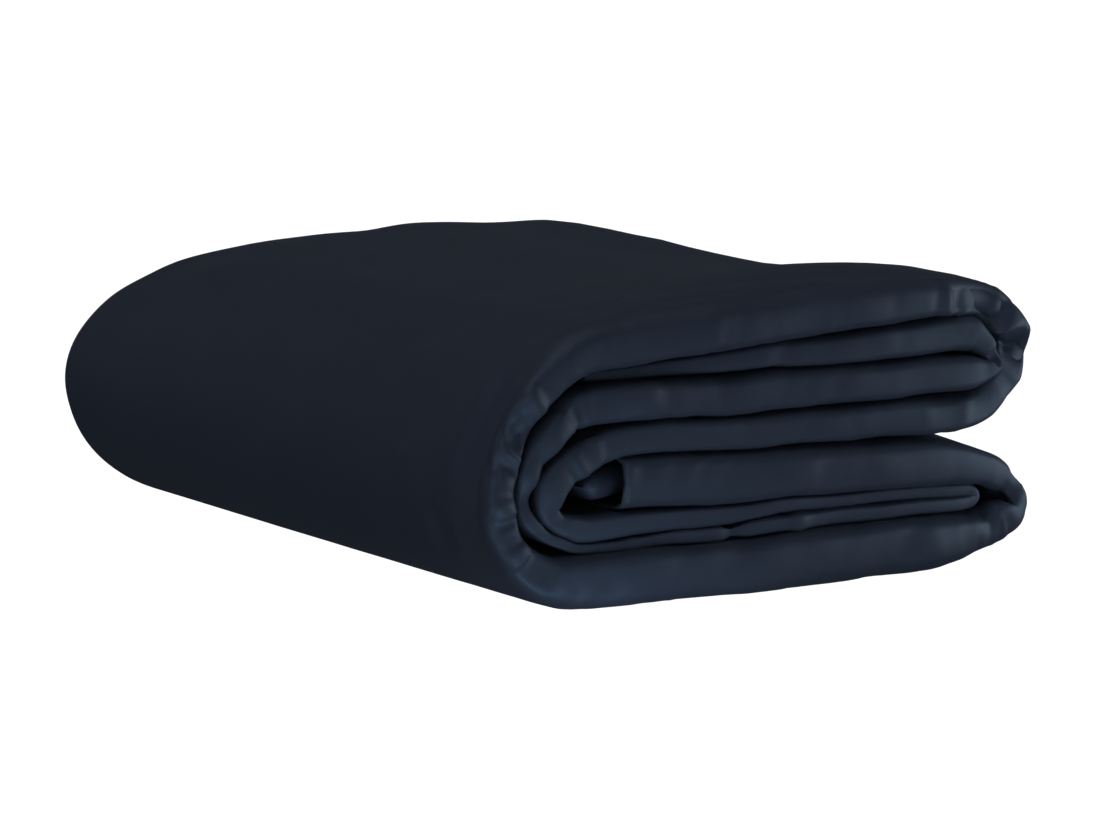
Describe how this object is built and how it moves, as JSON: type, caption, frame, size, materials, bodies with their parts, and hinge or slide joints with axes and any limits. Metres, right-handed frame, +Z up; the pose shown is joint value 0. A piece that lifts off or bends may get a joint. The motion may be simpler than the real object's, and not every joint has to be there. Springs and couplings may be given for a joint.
{
  "type": "folded duvet cover",
  "caption": "Duvet cover folded back and forth into a soft oblong bundle, with a rounded spine along one side and open layered folds at the ends, to lie on a shelf or a bed.",
  "frame": {"origin": "under the middle of the folded bundle, on the surface that it rests on", "axes": "+X from the spine to the open lobes, +Y from the near end to the far end, along the folds, +Z up"},
  "size_m": [0.2553, 0.35, 0.1178],
  "materials": {
    "cover_cloth": "dark navy cotton sateen, finely woven, with a faint soft sheen"
  },
  "bodies": {
    "root": {"duvet_cover": "cover_cloth"}
  },
  "joints": []
}
